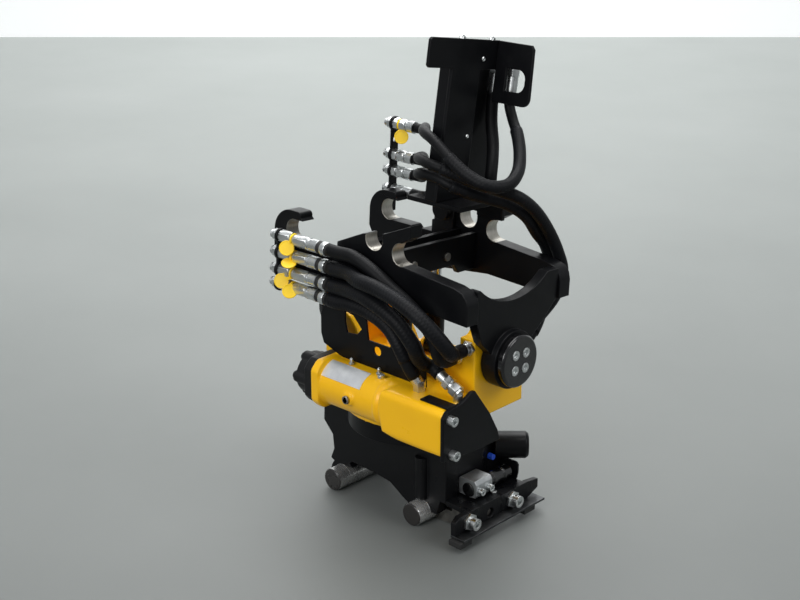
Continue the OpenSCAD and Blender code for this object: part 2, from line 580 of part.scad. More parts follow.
// Top bracket
hook_r = 38;
arm_t = 14;
hook_front_x = ear_x + 24;
module hook_plate(y) color("#121315") lean(tilt_rest) difference() {
  union() {
    xz_plate(y, hook_t) polygon([[-198, 384], [-222, 424], [-222, 452], hook_seat + [-6, -2],
      hook_seat - [6, seat_r], hook_seat + [52, -seat_r], [-110, 432], [-80, 461], [-18, 489], [29, 498],
      [83, 521], [83, 501], front_seat + [0, seat_r], front_seat - [0, seat_r], [hook_front_x - 30, 445],
      [hook_front_x - 12, 440], [hook_front_x - 3, 430], [hook_front_x, 418], [hook_front_x, 390],
      [54, 396], [-87, 380]]);
    y_rod([hook_seat[0] - 10, y, hook_seat[1] - 6], hook_r, hook_t);
    box([hook_seat[0] - 10, y, hook_seat[1] + seat_r - 1], [hook_seat[0] + 8, y + hook_t, hook_seat[1] + seat_r + arm_t]);
    y_rod([hook_seat[0] + 8, y, hook_seat[1] + seat_r + arm_t / 2], arm_t / 2, hook_t);
  }
  y_rod([hook_seat[0], y - 1, hook_seat[1]], seat_r, hook_t + 2);
  box([hook_seat[0], y - 1, hook_seat[1] - seat_r], [hook_seat[0] + 100, y + hook_t + 1, hook_seat[1] + seat_r]);
  y_rod([lock_seat[0], y - 1, lock_seat[1]], seat_r, hook_t + 2);
  box([lock_seat[0] - seat_r, y - 1, lock_seat[1]], [lock_seat[0] + seat_r, y + hook_t + 1, lock_seat[1] + 60]);
  y_rod([front_seat[0], y - 1, front_seat[1]], seat_r, hook_t + 2);
}
module hook_plate_near() hook_plate(near_y);
module hook_plate_far() hook_plate(far_y);
smile_r = 125;
inner_y = [near_y + hook_t, far_y];
// End plate between the hook plates, with a boss for the tilt pin and a smiling top edge
module end_plate(x, top, low, boss) lean(tilt_rest) difference() {
  union() {
    yz_plate(x, end_plate_t) polygon([[inner_y[0], low], [inner_y[0], top], [inner_y[1], top], [inner_y[1], low],
      [76, 356], [46, 332], [30, tilt_z - 10], [-30, tilt_z - 10], [-46, 332], [-68, 352]]);
    x_rod([x, 0, tilt_z], boss_r, end_plate_t + boss);
  }
  x_rod([x - 1, 0, tilt_z], tilt_pin_d / 2 + fit, end_plate_t + boss + 2);
  x_rod([x - 1, 3, 410 + smile_r], smile_r, end_plate_t + 2);
}
module front_plate() color("#121315") end_plate(ear_x + end_gap, 440, 392, boss_h[0]);
module rear_plate() color("#121315") mirror([1, 0, 0]) end_plate(rear_ear_x + end_gap, 416, 386, boss_h[1]);
module cross_plates() color("#121315") lean(tilt_rest)
  for (x = [cyl_x - eye_w / 2 - gap - 10, cyl_x + eye_w / 2 + gap]) difference() {
    yz_plate(x, 10) polygon([[near_y + hook_t, 400], [near_y + hook_t, 462], [far_y, 462], [far_y, 400], [70, 400],
      [60, 415], [-60, 415], [-70, 400]]);
    both_sides() x_rod([x - 1, cyl_y, cyl_up_z], link_pin_r + fit, 12);
  }
function cap_x(ear, boss) = ear + end_gap + end_plate_t + boss;
module tilt_pins() color("#9a9a98") both_ends()
  x_rod([$ear - ear_t - 6, 0, tilt_z], tilt_pin_d / 2, cap_x(0, $boss) + ear_t + 6);
module tilt_caps() color("#141517") lean(tilt_rest) both_ends() difference() {
  union() {
    x_rod([cap_x($ear, $boss), 0, tilt_z], cap_d / 2, cap_t - 3);
    translate([cap_x($ear, $boss) + cap_t - 3, 0, tilt_z]) rotate([0, 90, 0])
      cylinder(r1 = cap_d / 2, r2 = cap_d / 2 - 3, h = 3);
  }
  for (y = [-1, 1], z = [-1, 1])
    x_rod([cap_x($ear, $boss) + cap_t - 5, y * cap_bolt_pitch / 2, tilt_z + z * cap_bolt_pitch / 2], 8 + fit, 8);
}
module cap_bolts() color("#c9ccce") lean(tilt_rest) both_ends()
  for (y = [-1, 1], z = [-1, 1]) translate([cap_x($ear, $boss) + cap_t - 5, y * cap_bolt_pitch / 2,
    tilt_z + z * cap_bolt_pitch / 2]) rotate([0, 90, 0]) socket_head(8, 6);
module upper_cylinder_pins() color("#8d9298") lean(tilt_rest) both_sides()
  x_rod([cyl_x - eye_w / 2 - 13, cyl_y, cyl_up_z], link_pin_r, eye_w + 26);

// Tower with its hose plate
module tower_base() color("#131416") lean(tilt_rest) {
  box([-30, 0, shelf_z], [84, far_y, shelf_z + shelf_t]);
  box([30, far_y - 8, 494], [84, far_y, shelf_z]);
  box([-62, far_y - 8, 440], [-20, far_y, shelf_z]);
  box([-30, far_y - 8, 500], [32, far_y, shelf_z]);
  y_rod([-41, far_y - 18, 490], 18, 18);
}
column_y = [-26, 41];
column_d = 27;
module tower_column() color("#131416") difference() {
  lean(tower_lean) {
    head = tower_head_w / 2;
    head_z = tower_top_z - 47;
    yz_plate(tower_x - tower_sheet, tower_sheet) polygon([[-head, head_z + 3], [-head, tower_top_z - 4],
      [4 - head, tower_top_z], [head, tower_top_z], [head, head_z], [column_y[1], head_z], [column_y[1] + 2, 500],
      [column_y[0] - 2, 500], [column_y[0], head_z], [4 - head, head_z]]);
    box([tower_x - column_d, column_y[0], 500], [tower_x - tower_sheet + 1, column_y[0] + 5, tower_top_z - 12]);
    box([tower_x - column_d, column_y[1] - 5, 500], [tower_x - tower_sheet + 1, column_y[1], tower_top_z - 12]);
  }
  lean(tilt_rest) box([-100, -200, 400], [200, 300, shelf_z + shelf_t]);
}
module tower_guard() color("#131416") lean(tower_lean) {
  side = tower_head_w / 2;
  difference() {
    union() {
      xz_plate(side - 6, 6) polygon([[tower_x, tower_top_z - 98], [tower_x, tower_top_z], [104, tower_top_z],
        [109, tower_top_z - 6], [112, tower_top_z - 84], [98, tower_top_z - 98]]);
      y_rod([98, side - 6, tower_top_z - 84], 14, 6);
    }
    box([60, 0, tower_top_z - 77], [84, 200, tower_top_z - 41]);
    y_rod([84, 0, tower_top_z - 56], 15, 200);
    y_rod([84, 0, tower_top_z - 62], 15, 200);
  }
  box([8, side, bulkhead_z], [76, tower_fit_y + 16, bulkhead_z + 6]);
}
module tower_fittings() {
  bulkhead_fittings();
  shelf_fittings();
}
module bulkhead_fittings() color("#c3c7c9") lean(tower_lean) for (x = tower_fit_x) translate([x, tower_fit_y, 0]) {
  translate([0, 0, bulkhead_z + 6]) cylinder(r = 10, h = 12, $fn = 6);
  translate([0, 0, bulkhead_z - 18]) cylinder(r = 11, h = 18, $fn = 6);
  translate([0, 0, tower_fit_low]) cylinder(r = 9, h = bulkhead_z - 18 - tower_fit_low);
}
module hose_stub(h) {
  cylinder(r = 11, h = h / 2, $fn = 6);
  cylinder(r = 9, h = h);
}
module shelf_fittings() color("#c3c7c9") lean(tilt_rest) {
  translate(shelf_fit - [0, 0, 18]) hose_stub(18);
  translate(wall_fit - [0, 18, 0]) rotate([-90, 0, 0]) hose_stub(18);
}

// Hose bars, fittings and tags
module hose_bar(x, y, zs) {
  difference() {
    union() {
      for (z = zs) x_rod([x, y, z], 12.8, bar_t);
      box([x, y - 8, zs[3]], [x + bar_t, y + 8, zs[0]]);
      children();
    }
    for (z = zs) x_rod([x - 1, y, z], 7 + fit, bar_t + 2);
    x_rod([x - 1, y, (zs[0] + zs[1]) / 2], 5, bar_t + 2);
  }
}
module hose_bar_near() color("#151617") lean(tilt_rest) hose_bar(near_bar_x, near_bar_y, near_fit_z)
  box([near_bar_x, near_bar_y, 404], [near_bar_x + bar_t, near_y, 424]);
module hose_bar_far() color("#151617") lean(tilt_rest) hose_bar(far_bar_x, far_bar_y, far_fit_z)
  box([far_bar_x, far_y + hook_t, 446], [far_bar_x + bar_t, far_bar_y + 8, 484]);
module bar_fittings(x, y, zs, l) for (z = zs) translate([x + bar_t, y, z]) rotate([0, 90, 0]) {
  cylinder(r = fit_r + 2, h = l * 0.22, $fn = 6);
  translate([0, 0, l * 0.22]) cylinder(r = fit_r - 1, h = l * 0.1);
  translate([0, 0, l * 0.32]) cylinder(r = fit_r + 1.5, h = l * 0.26, $fn = 6);
  translate([0, 0, l * 0.58]) cylinder(r = fit_r, h = l * 0.42);
  translate([0, 0, -bar_t]) cylinder(r = 7, h = bar_t);
  translate([0, 0, -bar_t - 9]) cylinder(r = fit_r + 1, h = 9, $fn = 6);
  translate([0, 0, -bar_t - 16]) cylinder(r = 7, h = 7);
}
module near_fittings() color("#c3c7c9") lean(tilt_rest) bar_fittings(near_bar_x, near_bar_y, near_fit_z, fit_len[0]);
module far_fittings() color("#c3c7c9") lean(tilt_rest) bar_fittings(far_bar_x, far_bar_y, far_fit_z, fit_len[1]);
module tag(x, y, z, l, a) translate([x + bar_t + l * 0.22 + 1, y, z]) rotate([0, 90, 0]) difference() {
  union() {
    cylinder(r = fit_r + 1.5, h = 2);
    rotate(a) translate([fit_r + 10, 0, 0]) cylinder(r = 11, h = 2);
  }
  translate([0, 0, -1]) cylinder(r = fit_r - 1 + fit, h = 4);
}
module hose_tags() color("#f3a712") lean(tilt_rest) {
  for (z = near_fit_z) tag(near_bar_x, near_bar_y, z, fit_len[0], -78);
  tag(far_bar_x, far_bar_y, far_fit_z[0], fit_len[1], -20);
}
module lower_hose_1() color("#16171a") hose(low_routes[0], low_hose_d);
module lower_hose_2() color("#16171a") hose(low_routes[1], low_hose_d);
module lower_hose_3() color("#16171a") hose(low_routes[2], low_hose_d);
module lower_hose_4() color("#16171a") hose(low_routes[3], low_hose_d);
module upper_hose_1() color("#16171a") hose(up_routes[0], up_hose_d);
module upper_hose_2() color("#16171a") hose(up_routes[1], up_hose_d);
module upper_hose_3() color("#16171a") hose(up_routes[2], up_hose_d);
module upper_hose_4() color("#16171a") hose(up_routes[3], up_hose_d);
module tower_hose() color("#16171a") hose(tower_route, up_hose_d);

hitch_frame();
turntable();
swivel_core();
worm_wheel();
front_tool_pin();
rear_tool_pin();
lock_wedge();
lock_cylinder();
clamp_block();
clamp_bolts();
coupling_cap();
port_plug();
front_beam();
beam_lip();
beam_feet();
beam_bolts();
rotor_housing();
tilt_bushes();
drive_motor();
motor_bolts();
front_shield();
shield_bolts();
side_guard();
grease_nipples();
worm_plug();
data_plate();
hose_ports();
lower_cylinder_pins();
worm_shaft();
barrel_near();
barrel_far();
piston_rod_near();
piston_rod_far();
hook_plate_near();
hook_plate_far();
front_plate();
rear_plate();
cross_plates();
tilt_pins();
tilt_caps();
cap_bolts();
upper_cylinder_pins();
tower_base();
tower_column();
tower_guard();
tower_fittings();
hose_bar_near();
hose_bar_far();
near_fittings();
far_fittings();
hose_tags();
lower_hose_1();
lower_hose_2();
lower_hose_3();
lower_hose_4();
upper_hose_1();
upper_hose_2();
upper_hose_3();
upper_hose_4();
tower_hose();
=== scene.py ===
"""Looks of the excavator tilt rotator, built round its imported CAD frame."""
import json
import math

import bmesh
import bpy
from mathutils import Matrix, Vector


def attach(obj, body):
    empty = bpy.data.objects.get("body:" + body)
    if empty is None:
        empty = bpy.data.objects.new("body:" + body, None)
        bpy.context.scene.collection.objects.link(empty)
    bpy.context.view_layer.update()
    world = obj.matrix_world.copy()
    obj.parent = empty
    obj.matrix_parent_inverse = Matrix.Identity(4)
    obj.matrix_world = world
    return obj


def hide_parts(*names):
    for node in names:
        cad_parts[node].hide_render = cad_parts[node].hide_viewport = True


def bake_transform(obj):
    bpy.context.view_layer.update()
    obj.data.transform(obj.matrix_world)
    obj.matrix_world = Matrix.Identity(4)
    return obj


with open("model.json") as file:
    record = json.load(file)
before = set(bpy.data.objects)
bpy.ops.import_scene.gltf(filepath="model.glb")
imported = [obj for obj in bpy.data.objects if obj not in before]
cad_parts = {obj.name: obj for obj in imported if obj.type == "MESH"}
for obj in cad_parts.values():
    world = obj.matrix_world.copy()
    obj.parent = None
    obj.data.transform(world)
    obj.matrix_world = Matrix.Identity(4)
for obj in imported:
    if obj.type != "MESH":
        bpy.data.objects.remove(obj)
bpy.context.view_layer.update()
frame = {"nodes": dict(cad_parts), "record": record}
nodes = frame["nodes"]
scene = bpy.context.scene

# Camera, fitted to the photograph
camera = bpy.data.cameras.new("camera")
camera.sensor_width = 36.0
camera.lens = 67.3
camera.clip_end = 60.0
camera_object = bpy.data.objects.new("camera", camera)
camera_object.location = (1.55735, -1.68985, 1.20173)
camera_object.rotation_euler = (math.radians(69.91), 0.0, math.radians(43.28))
scene.collection.objects.link(camera_object)
scene.camera = camera_object

scene.view_settings.view_transform = "Standard"
scene.view_settings.look = "None"

MM = 0.001
# Height of the tilt axis (mm), and the lean of the bracket and of its tower at rest (degrees)
TILT_Z = 315.0
REST_LEAN = 3.35
TOWER_LEAN = 9.4


# Node helpers
class Shader:
    """A principled material and short calls to add nodes to it."""

    def __init__(self, name, color, rough, metal=0.0, **constants):
        self.material = bpy.data.materials.new(name)
        self.material.use_nodes = True
        self.tree = self.material.node_tree
        self.main = self.tree.nodes["Principled BSDF"]
        self.main.inputs["Base Color"].default_value = (*color, 1.0)
        self.main.inputs["Roughness"].default_value = rough
        self.main.inputs["Metallic"].default_value = metal
        for key, value in constants.items():
            self.main.inputs[key.replace("_", " ")].default_value = value
        self.place = self.node("ShaderNodeTexCoord").outputs["Object"]
        self.height = None

    def node(self, kind, **values):
        made = self.tree.nodes.new(kind)
        for key, value in values.items():
            setattr(made, key, value)
        return made

    def link(self, a, b):
        self.tree.links.new(a, b)

    def noise(self, scale, detail=3.0, rough=0.55, at=None):
        made = self.node("ShaderNodeTexNoise")
        made.inputs["Scale"].default_value = scale
        made.inputs["Detail"].default_value = detail
        made.inputs["Roughness"].default_value = rough
        self.link(at or self.place, made.inputs["Vector"])
        return made.outputs["Fac"]

    def stretch(self, scale, at=None):
        made = self.node("ShaderNodeMapping")
        made.inputs["Scale"].default_value = scale
        self.link(at or self.place, made.inputs["Vector"])
        return made.outputs["Vector"]

    def ramp(self, value, low, high, from_value=0.0, to_value=1.0):
        made = self.node("ShaderNodeMapRange")
        for key, number in (("From Min", low), ("From Max", high), ("To Min", from_value), ("To Max", to_value)):
            made.inputs[key].default_value = number
        self.link(value, made.inputs["Value"])
        return made.outputs["Result"]

    def math(self, kind, a, b):
        made = self.node("ShaderNodeMath", operation=kind)
        for socket, value in zip(made.inputs, (a, b)):
            if isinstance(value, (int, float)):
                socket.default_value = value
            else:
                self.link(value, socket)
        return made.outputs["Value"]

    def mix(self, share, a, b):
        made = self.node("ShaderNodeMix", data_type="RGBA")
        self.link(share, made.inputs["Factor"])
        for name, value in (("A", a), ("B", b)):
            socket = [s for s in made.inputs if s.name == name and s.type == "RGBA"][0]
            if isinstance(value, tuple):
                socket.default_value = (*value, 1.0)
            else:
                self.link(value, socket)
        return [s for s in made.outputs if s.type == "RGBA"][0]

    def color(self, value):
        self.link(value, self.main.inputs["Base Color"])

    def rough(self, value):
        self.link(value, self.main.inputs["Roughness"])

    def metal(self, value):
        self.link(value, self.main.inputs["Metallic"])

    def bump(self, value, strength, distance):
        made = self.node("ShaderNodeBump")
        made.inputs["Strength"].default_value = strength
        made.inputs["Distance"].default_value = distance
        self.link(value, made.inputs["Height"])
        if self.height:
            self.link(self.height, made.inputs["Normal"])
        self.height = made.outputs["Normal"]
        self.link(self.height, self.main.inputs["Normal"])


def paint(name, color, dusty, rough, peel, coat=0.0, shine=0.5):
    """Sprayed paint: orange peel, uneven gloss and a little dust."""
    s = Shader(name, color, rough, Coat_Weight=coat, Coat_Roughness=0.12, Specular_IOR_Level=shine)
    cloud = s.noise(9.0, 5.0, 0.6)
    s.color(s.mix(s.ramp(cloud, 0.5, 0.78, 0.0, 0.8), color, dusty))
    s.rough(s.ramp(s.noise(26.0, 4.0), 0.3, 0.72, rough - 0.07, rough + 0.1))
    s.bump(s.noise(420.0, 2.0), peel, 0.0006)
    return s


def steel(name, color, dark, rough, scale, bump=0.1):
    """Turned or plated metal with fine lines and patchy tone."""
    s = Shader(name, color, rough, 1.0)
    lines = s.noise(1.0, 3.0, 0.6, s.stretch(scale))
    cloud = s.noise(38.0, 4.0)
    s.color(s.mix(s.ramp(cloud, 0.38, 0.68), color, dark))
    s.rough(s.ramp(lines, 0.3, 0.7, rough - 0.08, rough + 0.1))
    s.bump(lines, bump, 0.0003)
    return s


BLACK = (0.0032, 0.0034, 0.0042)
DUSTY_BLACK = (0.0075, 0.008, 0.0092)
BLACK_SHINE = 0.14
BARE = (0.56, 0.54, 0.49)
BARE_DARK = (0.36, 0.34, 0.3)

black_paint = paint("black_paint", BLACK, DUSTY_BLACK, 0.36, 0.1, 0.06, BLACK_SHINE)
black_gloss = paint("black_gloss", (0.003, 0.003, 0.0036), (0.007, 0.007, 0.008), 0.16, 0.16, 0.3, 0.4)
black_cast = paint("black_cast", (0.005, 0.0052, 0.006), (0.01, 0.0105, 0.0115), 0.48, 0.5, 0.0, 0.28)
yellow_paint = paint("yellow_paint", (1.0, 0.54, 0.004), (0.95, 0.49, 0.005), 0.34, 0.22, 0.12, 0.35)
yellow_paint.bump(yellow_paint.noise(110.0, 3.0), 0.2, 0.0012)
zinc = steel("zinc", (0.72, 0.74, 0.74), (0.6, 0.62, 0.62), 0.3, (30.0, 90.0, 90.0), 0.004)
galvanised = steel("galvanised", (0.55, 0.57, 0.58), (0.4, 0.42, 0.43), 0.42, (90.0, 90.0, 90.0), 0.25)
bare_steel = steel("bare_steel", (0.44, 0.42, 0.39), (0.2, 0.19, 0.18), 0.36, (40.0, 900.0, 40.0), 0.15)
chrome = steel("chrome", (0.8, 0.81, 0.83), (0.74, 0.75, 0.77), 0.12, (600.0, 600.0, 30.0), 0.03)
bronze = steel("bronze", (0.55, 0.36, 0.14), (0.4, 0.24, 0.09), 0.3, (500.0, 60.0, 500.0), 0.1)
plate_metal = steel("plate_metal", (0.86, 0.88, 0.9), (0.72, 0.74, 0.76), 0.4, (25.0, 700.0, 700.0), 0.1)
plate_metal.main.inputs["Metallic"].default_value = 0.7
blue_plastic = paint("blue_plastic", (0.015, 0.075, 0.55), (0.02, 0.09, 0.5), 0.3, 0.06)
tag_plastic = paint("tag_plastic", (1.0, 0.68, 0.02), (1.0, 0.6, 0.01), 0.38, 0.08, 0.0, 0.4)
foot_rubber = paint("foot_rubber", (0.012, 0.012, 0.012), (0.03, 0.03, 0.03), 0.7, 0.4)

SLOTS = {"black_paint": black_paint, "black_gloss": black_gloss, "black_cast": black_cast,
         "yellow_paint": yellow_paint, "zinc": zinc, "galvanised": galvanised, "steel": bare_steel,
         "chrome": chrome, "bronze": bronze, "blue_plastic": blue_plastic, "tag_plastic": tag_plastic,
         "plate_metal": plate_metal, "foot_rubber": foot_rubber}


# Slant of the wrap's threads, and the wave texture's scale at a pitch of one metre
WRAP_LEAN, WAVE_SCALE = 0.033, 0.628


def wrapped_rubber(name, dark, pale, pitch, relief):
    """Hose rubber with the relief of its woven wrap, laid out along the hose by the UV map; the wrap's grooves carry
    painted shade.
    """
    s = Shader(name, dark, 0.5, Specular_IOR_Level=0.16)
    along = s.node("ShaderNodeUVMap", uv_map="along").outputs["UV"]
    grain = s.noise(1.0, 2.0, 0.5, s.stretch((900.0, 60.0, 1.0), at=along))
    wraps = []
    for lean in (WRAP_LEAN, -WRAP_LEAN):
        wave = s.node("ShaderNodeTexWave", wave_type="BANDS", bands_direction="DIAGONAL")
        wave.inputs["Scale"].default_value = WAVE_SCALE / pitch
        wave.inputs["Distortion"].default_value = 0.4
        s.link(s.stretch((1.0, lean, 1.0), at=along), wave.inputs["Vector"])
        wraps.append(wave.outputs["Fac"])
    cloth = s.math("MAXIMUM", *wraps)
    tone = s.mix(s.ramp(s.noise(22.0, 4.0), 0.45, 0.75), dark, pale)
    # Painted shade: the colour darkens toward near-black in the grooves between the wrap's threads
    s.color(s.mix(s.ramp(cloth, 0.2, 0.9, 0.45, 0.0), tone, (0.002, 0.002, 0.0025)))
    s.rough(s.ramp(grain, 0.3, 0.7, 0.42, 0.62))
    s.bump(cloth, relief, 0.0005)
    s.bump(grain, 0.2, 0.0003)
    return s


hose_rubber = wrapped_rubber("hose_rubber", (0.0028, 0.0031, 0.0038), (0.006, 0.0065, 0.0078), 0.004, 0.2)
hose_sleeve = wrapped_rubber("hose_sleeve", (0.0036, 0.004, 0.0052), (0.0085, 0.0093, 0.0113), 0.0055, 0.5)
SLOTS["hose_rubber"] = hose_rubber


# Bare machined seats in the hook plates, by place on the plate
SEATS = ((-174.0, 461.0), (7.0, 485.0), (65.0, 472.0))
SEAT_R = 18.0


def seated_paint():
    """Black paint that leaves the hook plates' machined seats bare."""
    s = paint("hook_paint", BLACK, DUSTY_BLACK, 0.36, 0.1, 0.06, BLACK_SHINE)
    level = s.node("ShaderNodeVectorRotate", rotation_type="X_AXIS")
    level.inputs["Center"].default_value = (0.0, 0.0, TILT_Z * MM)
    level.inputs["Angle"].default_value = math.radians(REST_LEAN)
    s.link(s.place, level.inputs["Vector"])
    split = s.node("ShaderNodeSeparateXYZ")
    s.link(level.outputs["Vector"], split.inputs["Vector"])
    bare = None
    for x, z in SEATS:
        dx = s.math("SUBTRACT", split.outputs["X"], x * MM)
        dz = s.math("SUBTRACT", split.outputs["Z"], z * MM)
        r = s.math("SQRT", s.math("ADD", s.math("MULTIPLY", dx, dx), s.math("MULTIPLY", dz, dz)), 0.0)
        spot = s.ramp(r, (SEAT_R + 0.3) * MM, (SEAT_R + 0.9) * MM, 1.0, 0.0)
        bare = spot if bare is None else s.math("MAXIMUM", bare, spot)
    lines = s.noise(1.0, 3.0, 0.6, s.stretch((60.0, 1400.0, 60.0)))
    metal_tone = s.mix(s.ramp(lines, 0.3, 0.7), BARE, BARE_DARK)
    painted = s.main.inputs["Base Color"].links[0].from_socket
    painted_rough = s.main.inputs["Roughness"].links[0].from_socket
    s.color(s.mix(bare, painted, metal_tone))
    s.metal(bare)
    rough_mix = s.node("ShaderNodeMix", data_type="FLOAT")
    s.link(bare, rough_mix.inputs["Factor"])
    s.link(painted_rough, rough_mix.inputs[2])
    rough_mix.inputs[3].default_value = 0.36
    s.rough(rough_mix.outputs[0])
    return s


def oily_paint():
    """Black hitch paint with wet oil runs below the lock and round the front corner."""
    s = paint("hitch_paint", BLACK, DUSTY_BLACK, 0.4, 0.1, 0.0, BLACK_SHINE + 0.08)
    runs = s.ramp(s.noise(1.0, 3.0, 0.5, s.stretch((60.0, 60.0, 9.0))), 0.58, 0.64)
    split = s.node("ShaderNodeSeparateXYZ")
    s.link(s.place, split.inputs["Vector"])
    front = s.ramp(split.outputs["X"], 0.03, 0.09)
    low = s.ramp(split.outputs["Z"], 0.15, 0.1)
    wet = s.math("MULTIPLY", runs, s.math("MULTIPLY", front, low))
    dry = s.main.inputs["Roughness"].links[0].from_socket
    s.rough(s.math("SUBTRACT", dry, s.math("MULTIPLY", wet, 0.28)))
    s.bump(wet, 0.15, 0.0008)
    return s


# Where a tool pin's end faces begin, from the middle plane (m)
PIN_END = 0.0758


def pin_steel(name, color, dark, rough):
    """Worn pin steel whose end faces are coloured dark: partly their black paint, partly painted shade for faces
    turned from the light.
    """
    s = steel(name, color, dark, rough, (40.0, 900.0, 40.0), 0.12)
    split = s.node("ShaderNodeSeparateXYZ")
    s.link(s.place, split.inputs["Vector"])
    far = s.math("ABSOLUTE", split.outputs["Y"], 0.0)
    scuffed = s.math("ADD", far, s.ramp(s.noise(70.0, 4.0), 0.3, 0.7, -0.0012, 0.0012))
    # Dark end faces: partly black paint, partly painted shade
    end = s.ramp(scuffed, PIN_END - 0.0004, PIN_END + 0.0004)
    worn = s.main.inputs["Base Color"].links[0].from_socket
    s.color(s.mix(end, worn, (0.028, 0.026, 0.025)))
    s.metal(s.math("MULTIPLY", s.math("SUBTRACT", 1.0, end), 0.75))
    return s


hook_paint = seated_paint()
hitch_paint = oily_paint()
front_pin_steel = pin_steel("front_pin_steel", (0.97, 0.97, 0.96), (0.8, 0.8, 0.79), 0.2)
rear_pin_steel = pin_steel("rear_pin_steel", (0.6, 0.6, 0.59), (0.34, 0.34, 0.33), 0.26)
dark_zinc = steel("dark_zinc", (0.1, 0.103, 0.106), (0.05, 0.052, 0.055), 0.42, (90.0, 90.0, 90.0), 0.2)
wet_gloss = paint("wet_gloss", (0.002, 0.002, 0.0024), (0.004, 0.004, 0.0046), 0.1, 0.12, 0.8, 0.5)
wet_gloss.bump(wet_gloss.noise(130.0, 3.0), 0.5, 0.0015)
cap_gloss = paint("cap_gloss", (0.003, 0.003, 0.0036), (0.007, 0.007, 0.008), 0.17, 0.12, 0.5, 0.45)
OWN_PAINT = {"hook_plate_near": hook_paint, "hook_plate_far": hook_paint, "hitch_frame": hitch_paint,
             "front_beam": hitch_paint, "front_tool_pin": front_pin_steel, "rear_tool_pin": rear_pin_steel,
             "beam_lip": dark_zinc, "worm_plug": bare_steel, "lock_cylinder": wet_gloss, "tilt_caps": cap_gloss}


# Mesh helpers
def leaned(p, degrees):
    a = math.radians(degrees)
    return Vector((p[0], p[1] * math.cos(a) + (p[2] - TILT_Z) * math.sin(a),
                   TILT_Z - p[1] * math.sin(a) + (p[2] - TILT_Z) * math.cos(a)))


def in_bracket(p):
    return leaned(p, REST_LEAN)


def in_tower(p):
    return leaned(p, TOWER_LEAN)


def new_piece(name, bm, shader, body=None):
    mesh = bpy.data.meshes.new(name)
    bm.to_mesh(mesh)
    bm.free()
    mesh.materials.append(shader.material)
    for polygon in mesh.polygons:
        polygon.use_smooth = True
    made = bpy.data.objects.new(name, mesh)
    scene.collection.objects.link(made)
    if body:
        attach(made, body)
    return made


def smooth_line(points, step):
    """Catmull-Rom line through the points, sampled about every step."""
    pts = [Vector(p) for p in points]
    ext = [pts[0] * 2 - pts[1]] + pts + [pts[-1] * 2 - pts[-2]]
    line = []
    for i in range(1, len(ext) - 2):
        p0, p1, p2, p3 = ext[i - 1:i + 3]
        t0, t1 = 0.0, max((p1 - p0).length, 1e-6) ** 0.5
        t2 = t1 + max((p2 - p1).length, 1e-6) ** 0.5
        t3 = t2 + max((p3 - p2).length, 1e-6) ** 0.5
        count = max(2, int((p2 - p1).length / step))
        for k in range(count):
            t = t1 + (t2 - t1) * k / count
            a1 = p0 * ((t1 - t) / (t1 - t0)) + p1 * ((t - t0) / (t1 - t0))
            a2 = p1 * ((t2 - t) / (t2 - t1)) + p2 * ((t - t1) / (t2 - t1))
            a3 = p2 * ((t3 - t) / (t3 - t2)) + p3 * ((t - t2) / (t3 - t2))
            b1 = a1 * ((t2 - t) / (t2 - t0)) + a2 * ((t - t0) / (t2 - t0))
            b2 = a2 * ((t3 - t) / (t3 - t1)) + a3 * ((t - t1) / (t3 - t1))
            line.append(b1 * ((t2 - t) / (t2 - t1)) + b2 * ((t - t1) / (t2 - t1)))
    line.append(pts[-1])
    return line


def tube(line, radius, sides):
    """Closed tube along a line, with its length and turn as UV."""
    bm = bmesh.new()
    uv = bm.loops.layers.uv.new("along")
    rings, far, side = [], [0.0], None
    for i, p in enumerate(line):
        t = (line[min(i + 1, len(line) - 1)] - line[max(i - 1, 0)]).normalized()
        side = (side or t.cross(Vector((0.3, 0.5, 0.8))))
        side = (side - t * side.dot(t)).normalized()
        up = t.cross(side)
        rings.append([bm.verts.new(p + (side * math.cos(a) + up * math.sin(a)) * radius)
                      for a in (2 * math.pi * k / sides for k in range(sides))])
        if i:
            far.append(far[-1] + (p - line[i - 1]).length)
    for i in range(len(line) - 1):
        for k in range(sides):
            face = bm.faces.new((rings[i][k], rings[i][(k + 1) % sides],
                                 rings[i + 1][(k + 1) % sides], rings[i + 1][k]))
            turn = (k / sides, (k + 1) / sides, (k + 1) / sides, k / sides)
            for loop, u, v in zip(face.loops, (far[i], far[i], far[i + 1], far[i + 1]), turn):
                loop[uv].uv = (u, v)
    bm.faces.new(list(reversed(rings[0])))
    bm.faces.new(rings[-1])
    return bm, far[-1]


# Hose routes: the points of part.scad
GAP = 0.3
PORT_END, PORT_LEAD = 14.0 + GAP, 30.0
LEAD = Vector((20.0, 0.0, 0.0))
ELBOW = Vector((0.899, 0.0, -0.438))
PORT_4_LEAN = (math.radians(29.0), math.radians(45.0))
PORT_4_DIR = Vector((-math.sin(PORT_4_LEAN[0]) * math.cos(PORT_4_LEAN[1]),
                     -math.sin(PORT_4_LEAN[0]) * math.sin(PORT_4_LEAN[1]), math.cos(PORT_4_LEAN[0])))
PORT_1, PORT_2 = Vector((148, -60, 322)), Vector((169, -60, 341))
FAR_PORT_1, FAR_PORT_2 = Vector((167, 60, 336)), Vector((163, 60, 308))
PORT_3, PORT_4 = Vector((140, -94, 298)), Vector((106, -104, 274))
NEAR_FIT_Z = (452, 424, 395, 371)
FAR_FIT_Z = (603, 548, 519, 485)
NEAR_BAR = (-190.0, -130.0)
FAR_BAR = (-209.0, 153.0)
BAR_T, NEAR_FIT_LEN, FAR_FIT_LEN = 6.0, 112.0, 46.0
SHELF_FIT, WALL_FIT = Vector((62, 98, 550)), Vector((-41, 131, 503))


def near_hose(i):
    return in_bracket((NEAR_BAR[0] + BAR_T + NEAR_FIT_LEN, NEAR_BAR[1], NEAR_FIT_Z[i]))


def far_hose(i):
    return in_bracket((FAR_BAR[0] + BAR_T + FAR_FIT_LEN, FAR_BAR[1], FAR_FIT_Z[i]))


def from_near(i, *rest):
    return [near_hose(i), near_hose(i) + LEAD, *rest]


def from_far(i, *rest):
    return [far_hose(i), far_hose(i) + LEAD, *rest]


